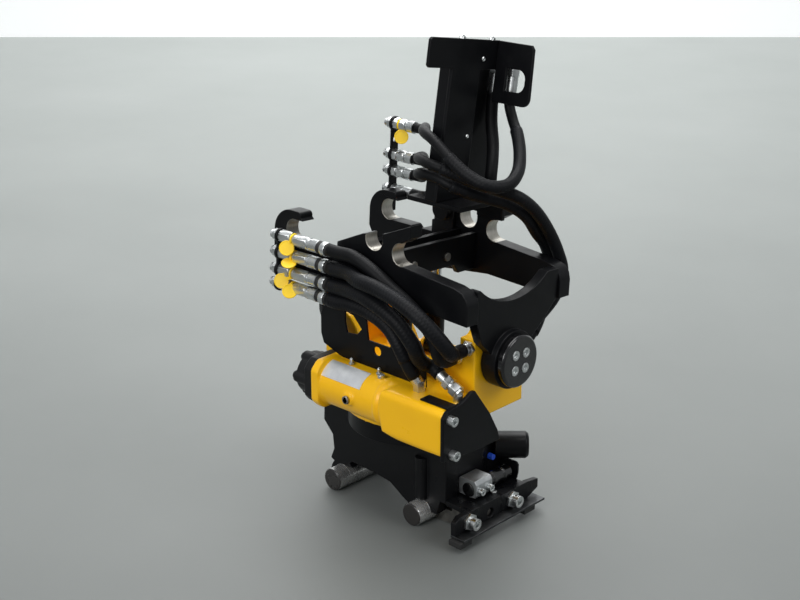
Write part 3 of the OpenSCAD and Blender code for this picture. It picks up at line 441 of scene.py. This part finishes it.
def into(port, side):
    return [port + Vector((0, side * PORT_LEAD, 0)), port + Vector((0, side * PORT_END, 0))]


ROUTES = {
    "lower_hose_1": from_near(0, (-20, -123, 461), (20, -122, 448), (60, -121, 428), (100, -120, 408),
                              (128, -117, 386), (142, -112, 362), (148, -110, 342), (148, -102, 328),
                              *into(PORT_1, -1)),
    "lower_hose_2": from_near(1, (-24, -128, 434), (6, -140, 433), (30, -144, 433), (56, -146, 432),
                              (103, -147, 423), (146, -143, 402), (170, -132, 376), (177, -118, 355),
                              (173, -104, 344), *into(PORT_2, -1)),
    "lower_hose_3": from_near(2, (-27, -130, 406), (6, -136, 408), (40, -140, 404), (90, -138, 383),
                              (116, -130, 350), (115, -117, 326), (117, -104, 312), PORT_3 - 19 * ELBOW,
                              PORT_3 - GAP * ELBOW),
    "lower_hose_4": from_near(3, (-24, -124, 381), (17, -121, 376), (56, -120, 360), (78, -121, 338),
                              (88, -119, 320), PORT_4 + 34 * PORT_4_DIR, PORT_4 + (16 + GAP) * PORT_4_DIR),
    "upper_hose_1": from_far(0, (-112, 146, 603), (-76, 106, 618), (-40, 66, 631), (4, 16, 640), (36, 1, 636),
                             (62, -5, 624), (88, -7, 608), (116, -4, 592), (144, 8, 580), (154, 42, 577),
                             (143, 80, 588), (122, 110, 608), (97, 134, 630), (72, 152, 648),
                             in_tower((58, 100, 690)), in_tower((58, 100, 706))),
    "upper_hose_2": from_far(1, (-112, 142, 553), (-76, 102, 568), (-40, 60, 584), (0, 8, 598), (36, -10, 600),
                             (62, -8, 596), (84, 6, 586), (104, 30, 572), (128, 56, 560), (150, 74, 550),
                             (159, 102, 527), (163, 136, 486), (167, 160, 442), (170, 169, 408), (170, 154, 374),
                             (167, 124, 349), *into(FAR_PORT_1, 1)),
    "upper_hose_3": from_far(2, (-112, 142, 524), (-76, 106, 540), (-40, 66, 556), (-6, 13, 571), (12, 3, 575),
                             (44, 1, 576), (70, 6, 567), (90, 30, 553), (104, 58, 542), (124, 80, 532),
                             (140, 106, 511), (143, 134, 476), (144, 156, 451), (146, 168, 412), (149, 153, 364),
                             (156, 124, 326), *into(FAR_PORT_2, 1)),
    "upper_hose_4": from_far(3, (-100, 166, 481), (-68, 169, 489), (-49, 165, 493),
                             in_bracket(WALL_FIT + Vector((0, 14, 0))), in_bracket(WALL_FIT)),
    "tower_hose": [in_tower((22, 100, 706)), in_tower((22, 100, 690)), (26, 154, 638), (42, 140, 604),
                   (57, 121, 578), in_bracket(SHELF_FIT + Vector((0, 0, 16))), in_bracket(SHELF_FIT)],
}
LOW_HOSE_R, UP_HOSE_R, BARE_HOSE_R = 11.0, 10.0, 8.6
LOW_SLEEVE_R, UP_SLEEVE_R = 12.2, 10.2
HOSE_STEP, HOSE_SIDES, SLEEVE_SIDES = 0.005, 20, 24
# Share of a hose's length that a woven sleeve covers; the rest is the bare hose
SLEEVED = {"upper_hose_1": (0.5, 0.9), "upper_hose_2": (0.42, 0.95), "upper_hose_3": (0.44, 0.95),
           "lower_hose_2": (0.02, 0.93), "lower_hose_3": (0.02, 0.92), "lower_hose_4": (0.03, 0.9)}
# Where a hose that crosses the tilt joint starts and ends its bend
BENDS = {
    "lower_hose_1": ((-0.02, -0.12, 0.455), (0.148, -0.108, 0.335)),
    "lower_hose_2": ((-0.02, -0.13, 0.435), (0.172, -0.105, 0.345)),
    "lower_hose_3": ((-0.03, -0.13, 0.405), (0.116, -0.108, 0.315)),
    "lower_hose_4": ((-0.03, -0.125, 0.38), (0.092, -0.117, 0.31)),
    "upper_hose_2": ((0.15, 0.08, 0.545), (0.167, 0.125, 0.35)),
    "upper_hose_3": ((0.124, 0.085, 0.53), (0.155, 0.125, 0.327)),
}
for name, route in ROUTES.items():
    low = name.startswith("lower")
    radius = (LOW_HOSE_R if low else BARE_HOSE_R if name in SLEEVED else UP_HOSE_R) * MM
    line = smooth_line([Vector(p) * MM for p in route], HOSE_STEP)
    bm, length = tube(line, radius, HOSE_SIDES)
    hose = new_piece(name + "_rubber", bm, hose_rubber)
    if name in BENDS:
        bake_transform(hose)
    else:
        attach(hose, "top_bracket")
    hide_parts(name)
    if name in SLEEVED:
        first, last = (int(share * (len(line) - 1)) for share in SLEEVED[name])
        bm = tube(line[first:last + 1], (LOW_SLEEVE_R if low else UP_SLEEVE_R) * MM, SLEEVE_SIDES)[0]
        sleeve = new_piece(name + "_sleeve", bm, hose_sleeve)
        if name in BENDS:
            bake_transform(sleeve)
        else:
            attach(sleeve, "top_bracket")


# Ring shapes of turned pieces: share of the radius at an angle
def round_ring(a):
    return 1.0


def hex_ring(a):
    return math.cos(math.pi / 6) / math.cos((a % (math.pi / 3)) - math.pi / 6)


def crimp_ring(a):
    return 1.0 - 0.05 * (0.5 + 0.5 * math.cos(8 * a)) ** 2


def turned(bm, place, stations, sides=48):
    """Closed solid of revolution through (distance, radius, ring shape) stations."""
    rings = []
    for d, r, shape in stations:
        rings.append([bm.verts.new(place(d, r * shape(a) * math.sin(a), r * shape(a) * math.cos(a)))
                      for a in (2 * math.pi * k / sides for k in range(sides))])
    for low, high in zip(rings, rings[1:]):
        for k in range(sides):
            bm.faces.new((low[k], high[k], high[(k + 1) % sides], low[(k + 1) % sides]))
    bm.faces.new(rings[0])
    bm.faces.new(list(reversed(rings[-1])))


def nut(d, length, r):
    edge, bevel = r * 0.9, 0.9
    return [(d, edge, round_ring), (d + bevel, r, hex_ring), (d + length - bevel, r, hex_ring),
            (d + length, edge, round_ring)]


def ferrule(d, length, r):
    """Crimped sleeve with a rolled groove behind its lip."""
    return [(d, r * 0.93, round_ring), (d + 1, r, round_ring), (d + 3, r, round_ring), (d + 3.6, r * 0.9, round_ring),
            (d + 5, r * 0.9, round_ring), (d + 5.6, r, crimp_ring), (d + length - 3, r, crimp_ring),
            (d + length - 2.4, r * 1.02, round_ring), (d + length - 0.6, r * 1.02, round_ring),
            (d + length, r * 0.94, round_ring)]


def screw_thread(d, length, r, pitch, depth=0.8):
    steps = int(length / pitch)
    rows = []
    for k in range(steps):
        rows += [(d + k * pitch, r, round_ring), (d + (k + 0.5) * pitch, r - depth, round_ring)]
    return rows + [(d + length, r, round_ring)]


def on_bar(x, y, z):
    """Places a turned piece along X in front of a hose bar."""
    return lambda d, u, v: in_bracket((x + d, y + u, z + v)) * MM


def flat_sided(piece):
    """Keeps the facets of a turned piece or a plate crisp."""
    crisp = piece.modifiers.new("crisp", "EDGE_SPLIT")
    crisp.split_angle = math.radians(32)


# Turned and crimped fittings on the two hose bars; distances run along X from the bar's front
NECK = 8.5
PLUG_R, STEM_R, RING_R = 7.0, 9.2, 11.6
behind_bar = (screw_thread(-22, 7, PLUG_R, 1.75) + nut(-15, 9, 10.5)
              + [(-6, PLUG_R, round_ring), (-0.05, PLUG_R, round_ring)])
near_front = (nut(0, 24.6, 11.5) + [(24.6, NECK, round_ring), (35.8, NECK, round_ring)] + nut(35.8, 28, 11)
              + ferrule(64.5, 23, 10.6)
              + [(87.5, STEM_R, round_ring), (97, STEM_R, round_ring), (97, RING_R - 0.4, round_ring),
                 (98, RING_R, round_ring), (106, RING_R, round_ring), (107, RING_R - 0.4, round_ring),
                 (107, STEM_R, round_ring), (NEAR_FIT_LEN, STEM_R, round_ring)])
far_front = (nut(0, 10.1, 11.5) + [(10.1, NECK, round_ring), (14.7, NECK, round_ring)] + nut(14.7, 11.6, 11)
             + ferrule(26.7, FAR_FIT_LEN - 26.7, 10.5))
bm = bmesh.new()
for z in NEAR_FIT_Z:
    turned(bm, on_bar(NEAR_BAR[0] + BAR_T, NEAR_BAR[1], z), behind_bar + near_front)
near_metal = new_piece("near_crimp_fittings", bm, zinc, "top_bracket")
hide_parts("near_fittings")
bm = bmesh.new()
for z in FAR_FIT_Z:
    turned(bm, on_bar(FAR_BAR[0] + BAR_T, FAR_BAR[1], z), behind_bar + far_front)
far_metal = new_piece("far_crimp_fittings", bm, zinc, "top_bracket")
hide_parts("far_fittings")
for piece in (near_metal, far_metal):
    flat_sided(piece)

# Short rubber sleeves on both sides of each near clamp ring
bm = bmesh.new()
for z in NEAR_FIT_Z:
    place = on_bar(NEAR_BAR[0] + BAR_T, NEAR_BAR[1], z)
    turned(bm, place, [(87.3, 9.4, round_ring), (88, 10.2, round_ring), (96.2, 10.2, round_ring),
                       (96.9, 9.4, round_ring)])
    turned(bm, place, [(107.1, 9.6, round_ring), (107.6, 10.8, round_ring), (111.9, 10.9, round_ring)])
new_piece("near_rubber_sleeves", bm, foot_rubber, "top_bracket")


def facing(at, normal):
    """Places a turned piece at a point, along a normal."""
    n = Vector(normal).normalized()
    u = n.cross(Vector((0.0, 0.0, 1.0))).normalized()
    v = n.cross(u)
    return lambda d, a, b: (at + n * d + u * a + v * b) * MM


def strap(bm, a, b, wide, thick, normal):
    """Flat strip from one point to another, with its broad side to the normal."""
    n = Vector(normal).normalized()
    along_strap = (b - a).normalized()
    side = along_strap.cross(n).normalized() * wide / 2
    up = side.cross(along_strap).normalized() * thick / 2
    ends = [[bm.verts.new((end + i * side + j * up) * MM) for i, j in ((-1, -1), (1, -1), (1, 1), (-1, 1))]
            for end in (a, b)]
    for k in range(4):
        bm.faces.new((ends[0][k], ends[0][(k + 1) % 4], ends[1][(k + 1) % 4], ends[1][k]))
    bm.faces.new(list(reversed(ends[0])))
    bm.faces.new(ends[1])


# Yellow tags: a strap round the fitting's neck and a rimmed disc that hangs from it
TAG_R = 12.5
TAGS = ((NEAR_BAR, NEAR_FIT_Z[0], 29.0, (-4, -13, -13), (0.6, -0.72, 0.35)),
        (NEAR_BAR, NEAR_FIT_Z[1], 30.0, (2, -14, -9), (0.28, -0.3, 0.91)),
        (NEAR_BAR, NEAR_FIT_Z[2], 29.0, (-15, -13, -14), (0.5, -0.82, 0.28)),
        (NEAR_BAR, NEAR_FIT_Z[3], 29.0, (6, -14, -3), (0.6, -0.5, 0.62)),
        (FAR_BAR, FAR_FIT_Z[0], 12.4, (9, -8, -19), (0.55, -0.8, 0.2)))
bm = bmesh.new()
for bar, z, d, hang, normal in TAGS:
    neck = Vector((bar[0] + BAR_T + d, bar[1], z))
    place = on_bar(neck.x, neck.y, neck.z)
    turned(bm, place, [(-1.6, NECK + 0.1, round_ring), (-1.6, NECK + 1.5, round_ring), (1.6, NECK + 1.5, round_ring),
                       (1.6, NECK + 0.1, round_ring)], 32)
    centre = in_bracket(neck + Vector(hang))
    turned(bm, facing(centre, normal),
           [(0, TAG_R - 0.8, round_ring), (0.4, TAG_R, round_ring), (1.4, TAG_R, round_ring),
            (1.9, TAG_R - 0.7, round_ring), (1.9, TAG_R - 1.7, round_ring), (1.4, TAG_R - 2.2, round_ring)])
    toward = Vector((0, hang[1], hang[2])).normalized() * (NECK + 0.6)
    strap(bm, in_bracket(neck + toward), centre + (in_bracket(neck) - centre) * 0.2, 5.0, 1.2, normal)
tags = new_piece("yellow_tags", bm, tag_plastic, "top_bracket")
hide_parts("hose_tags")
flat_sided(tags)


def flat_plate(bm, outline, deep):
    """Prism of an outline, bevelled; outline in world millimetres, deep its thickness vector."""
    part = bmesh.new()
    rims = [[part.verts.new((Vector(p) + k * Vector(deep)) * MM) for p in outline] for k in (0, 1)]
    part.faces.new(list(reversed(rims[0])))
    part.faces.new(rims[1])
    for k in range(len(outline)):
        n = (k + 1) % len(outline)
        part.faces.new((rims[0][k], rims[0][n], rims[1][n], rims[1][k]))
    bmesh.ops.recalc_face_normals(part, faces=part.faces[:])
    bmesh.ops.bevel(part, geom=part.edges[:], offset=0.8 * MM, segments=2, affect="EDGES")
    scratch = bpy.data.meshes.new("plate")
    part.to_mesh(scratch)
    part.free()
    bm.from_mesh(scratch)
    bpy.data.meshes.remove(scratch)


# A web that closes the tower's back
WEB_X, WEB_T = 6.1, 4.0
WEB_OUTLINE = ((37, 742), (117, 742), (120, 690), (134, 575), (128, 558), (90, 544), (37, 536))
bm = bmesh.new()
flat_plate(bm, [in_tower((WEB_X, y, z)) for y, z in WEB_OUTLINE], (WEB_T, 0, 0))
web = new_piece("tower_back_web", bm, black_paint, "top_bracket")
flat_sided(web)

# A wall and a cheek that stand on the front beam, beside the lock cylinder
CHEEK_Y, CHEEK_T, CHEEK_FOOT = 88, 5, 54.2
LOCK_WALL_X = 111
CHEEK_OUTLINE = ((115, CHEEK_FOOT), (150, CHEEK_FOOT), (153, 68), (153, 82), (149, 86), (115, 86))
WALL_OUTLINE = ((51, CHEEK_FOOT), (CHEEK_Y + CHEEK_T, CHEEK_FOOT), (CHEEK_Y + CHEEK_T, 91.8), (51, 91.8))
bm = bmesh.new()
flat_plate(bm, [(LOCK_WALL_X, y, z) for y, z in WALL_OUTLINE], (CHEEK_T, 0, 0))
flat_plate(bm, [(x, CHEEK_Y, z) for x, z in CHEEK_OUTLINE], (0, CHEEK_T, 0))
cheek = new_piece("lock_side_cheek", bm, hitch_paint, "lower_hitch")
flat_sided(cheek)

# Small bright screws on the tower's face, with a drive recess, and two nuts on top of its head
TOWER_FACE_X = 37.0
HEAD_NUT_X, HEAD_NUT_Y, HEAD_NUT_Z = 34.0, (-8.0, 65.0), 789.6
TOWER_SCREWS = ((45.5, 759.4, 4.0), (28.2, 636.2, 3.4), (26.8, 550.0, 3.2))
bm = bmesh.new()
for y, z, r in TOWER_SCREWS:
    at = in_tower((TOWER_FACE_X, y, z))
    turned(bm, facing(at, (1, 0, 0)),
           [(-0.2, r, round_ring), (0.8, r, round_ring), (1.9, r * 0.8, round_ring), (2.3, r * 0.5, round_ring),
            (1.4, r * 0.45, hex_ring)], 24)
for y in HEAD_NUT_Y:
    turned(bm, lambda d, u, v, y=y: in_tower((HEAD_NUT_X + u, y + v, HEAD_NUT_Z + d)) * MM,
           [(0, 5.4, hex_ring), (3.4, 5.4, hex_ring), (4.0, 4.8, round_ring), (4.0, 2.9, round_ring),
            (5.6, 2.9, round_ring), (6.0, 2.4, round_ring)])
tower_screws = new_piece("tower_face_screws", bm, zinc, "top_bracket")
flat_sided(tower_screws)

# Materials and softened edges on the CAD pieces
SOFT_EDGE = {"black_paint": 1.2, "black_gloss": 1.0, "black_cast": 1.2, "galvanised": 0.8, "blue_plastic": 0.6,
             "foot_rubber": 1.0, "tag_plastic": 0.5, "plate_metal": 0.2, "zinc": 0.5, "steel": 0.6}
# Voxel size and rounds of smoothing that give a cast piece its soft corners
CAST = {"rotor_housing": (0.002, 12), "drive_motor": (0.0012, 6)}
bpy.ops.object.select_all(action="DESELECT")
for part in frame["record"]["subparts"]:
    node = nodes[part["node"]]
    slot = part["material_slot"]
    node.data.materials.clear()
    shader = OWN_PAINT.get(part["node"], SLOTS[slot])
    node.data.materials.append(shader.material)
    for polygon in node.data.polygons:
        polygon.use_smooth = True
        polygon.material_index = 0
    if node.hide_render:
        continue
    if node.data.has_custom_normals:
        bpy.context.view_layer.objects.active = node
        bpy.ops.mesh.customdata_custom_splitnormals_clear()
    weld = node.modifiers.new("weld", "WELD")
    weld.merge_threshold = 2e-6
    if part["node"] in CAST:
        cast = node.modifiers.new("cast", "REMESH")
        cast.mode = "VOXEL"
        cast.voxel_size, rounds = CAST[part["node"]]
        cast.use_smooth_shade = True
        ease = node.modifiers.new("ease", "SMOOTH")
        ease.factor = 0.5
        ease.iterations = rounds
        continue
    flat = node.modifiers.new("flat", "DECIMATE")
    flat.decimate_type = "DISSOLVE"
    flat.angle_limit = math.radians(0.5)
    soft = node.modifiers.new("soft", "BEVEL")
    soft.width = SOFT_EDGE.get(slot, 0.5) * MM
    soft.segments = 2
    soft.limit_method = "ANGLE"
    soft.angle_limit = math.radians(38)
    soft.use_clamp_overlap = False
    even = node.modifiers.new("even", "WEIGHTED_NORMAL")
    even.weight = 60


# Floor, back wall and light
def stage_plane(name, size, place, shader):
    bm = bmesh.new()
    bmesh.ops.create_grid(bm, x_segments=1, y_segments=1, size=size, matrix=place)
    mesh = bpy.data.meshes.new(name)
    bm.to_mesh(mesh)
    bm.free()
    mesh.materials.append(shader.material)
    made = bpy.data.objects.new(name, mesh)
    scene.collection.objects.link(made)


# Painted light on the floor: its colour darkens toward the camera and pales away from it, standing in for the fall of
# the lamps' light; distances (m) and the share of its tone there
FLOOR_REACH, FLOOR_PAINTED_LIGHT = (-1.0, 5.0), (0.36, 1.36)
floor_shader = Shader("floor", (0.5, 0.52, 0.51), 0.5, Specular_IOR_Level=0.3)
away = Vector((-math.sin(camera_object.rotation_euler.z), math.cos(camera_object.rotation_euler.z), 0.0))
distance = floor_shader.node("ShaderNodeVectorMath", operation="DOT_PRODUCT")
distance.inputs[1].default_value = away
floor_shader.link(floor_shader.place, distance.inputs[0])
worn = floor_shader.mix(floor_shader.noise(1.4, 6.0), (0.27, 0.29, 0.28), (0.35, 0.37, 0.36))
# Painted shade and light: the floor's colour is scaled by its distance from the camera
bright = floor_shader.node("ShaderNodeVectorMath", operation="SCALE")
floor_shader.link(worn, bright.inputs[0])
floor_shader.link(floor_shader.ramp(distance.outputs["Value"], *FLOOR_REACH, *FLOOR_PAINTED_LIGHT), bright.inputs["Scale"])
floor_shader.color(bright.outputs["Vector"])
stage_plane("floor", 14.0, Matrix.Identity(4), floor_shader)
wall_shader = Shader("wall", (0.9, 0.91, 0.91), 0.8, Emission_Color=(1.0, 1.0, 1.0, 1.0),
                     Emission_Strength=0.2)
WALL_AT = (-3.04, 3.23, 0.0)
stage_plane("wall", 6.0, Matrix.Translation(WALL_AT) @ Matrix.Rotation(camera_object.rotation_euler.z, 4, "Z")
            @ Matrix.Rotation(math.pi / 2, 4, "X"), wall_shader)

world = bpy.data.worlds.new("studio")
scene.world = world
world.use_nodes = True
world.node_tree.nodes["Background"].inputs["Color"].default_value = (0.95, 0.98, 1.0, 1.0)
world.node_tree.nodes["Background"].inputs["Strength"].default_value = 0.42


def area_light(name, at, target, size, power):
    data = bpy.data.lights.new(name, "AREA")
    data.shape = "RECTANGLE"
    data.size, data.size_y = size
    data.energy = power
    lamp = bpy.data.objects.new(name, data)
    lamp.location = at
    lamp.rotation_euler = (Vector(target) - Vector(at)).to_track_quat("-Z", "Y").to_euler()
    scene.collection.objects.link(lamp)


area_light("top_light", (0.0, 0.1, 3.6), (0, 0, 0.3), (3.4, 2.6), 95)
area_light("back_light", (-1.9, 2.1, 3.8), (-1.7, 1.9, 0.0), (3.0, 3.0), 130)
area_light("side_light", (0.4, -3.6, 2.2), (0, 0, 0.3), (2.0, 1.6), 66)
area_light("front_light", (3.0, 0.9, 2.3), (0.1, 0, 0.3), (1.6, 1.2), 24)
